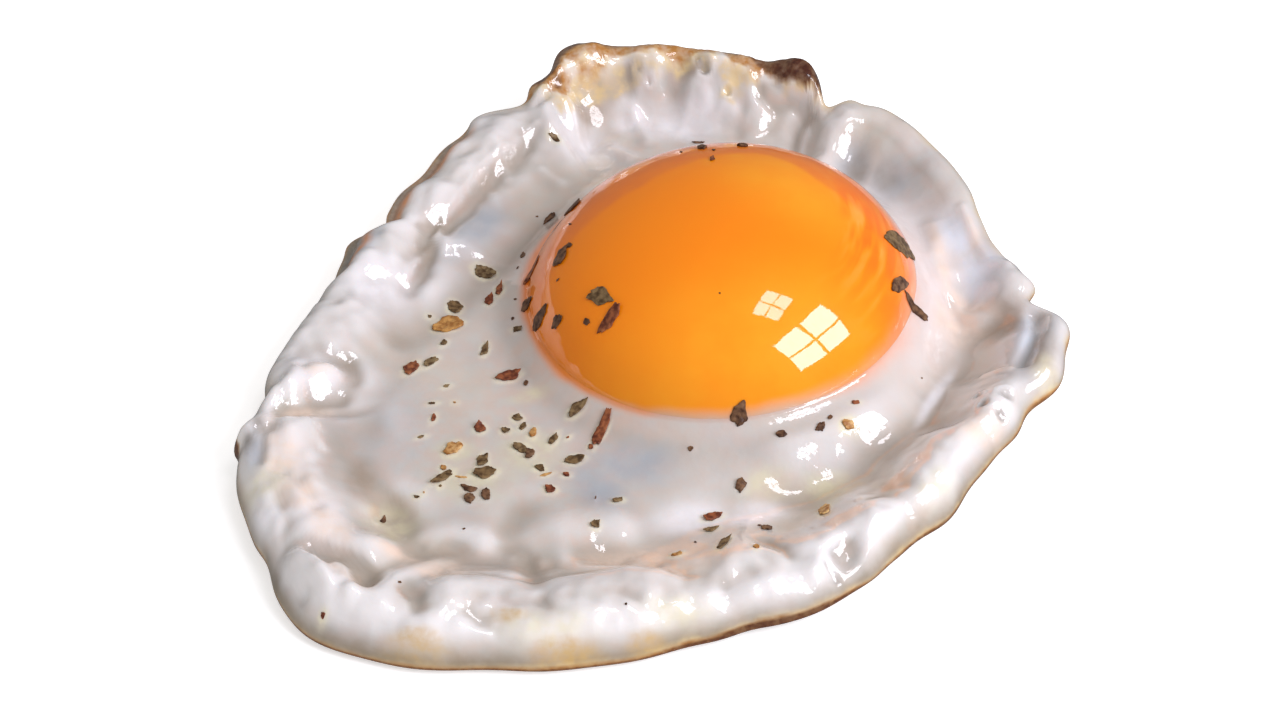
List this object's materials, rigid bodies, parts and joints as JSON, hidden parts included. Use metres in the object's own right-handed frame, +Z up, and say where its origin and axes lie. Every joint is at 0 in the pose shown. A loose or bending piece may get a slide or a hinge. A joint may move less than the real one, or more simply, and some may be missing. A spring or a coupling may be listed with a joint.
{
  "type": "fried egg",
  "caption": "Fried egg, sunny side up: a domed runny yolk in a glossy white with a folded, curled rim browned at the far side, sprinkled with flakes of herb and chilli.",
  "frame": {"origin": "middle of the bounding box in plan, on the surface the egg rests on", "axes": "+Z up; +Y towards the rim that is curled up and browned; +X to the right as seen from the thick front edge"},
  "size_m": [0.0972, 0.1007, 0.0195],
  "materials": {
    "cooked_white": "wet, glossy cooked egg white, browned along its rim",
    "soft_yolk": "wet, glossy soft yolk under a thin film of white"
  },
  "bodies": {
    "root": {"egg_white": "cooked_white", "yolk": "soft_yolk"}
  },
  "joints": []
}
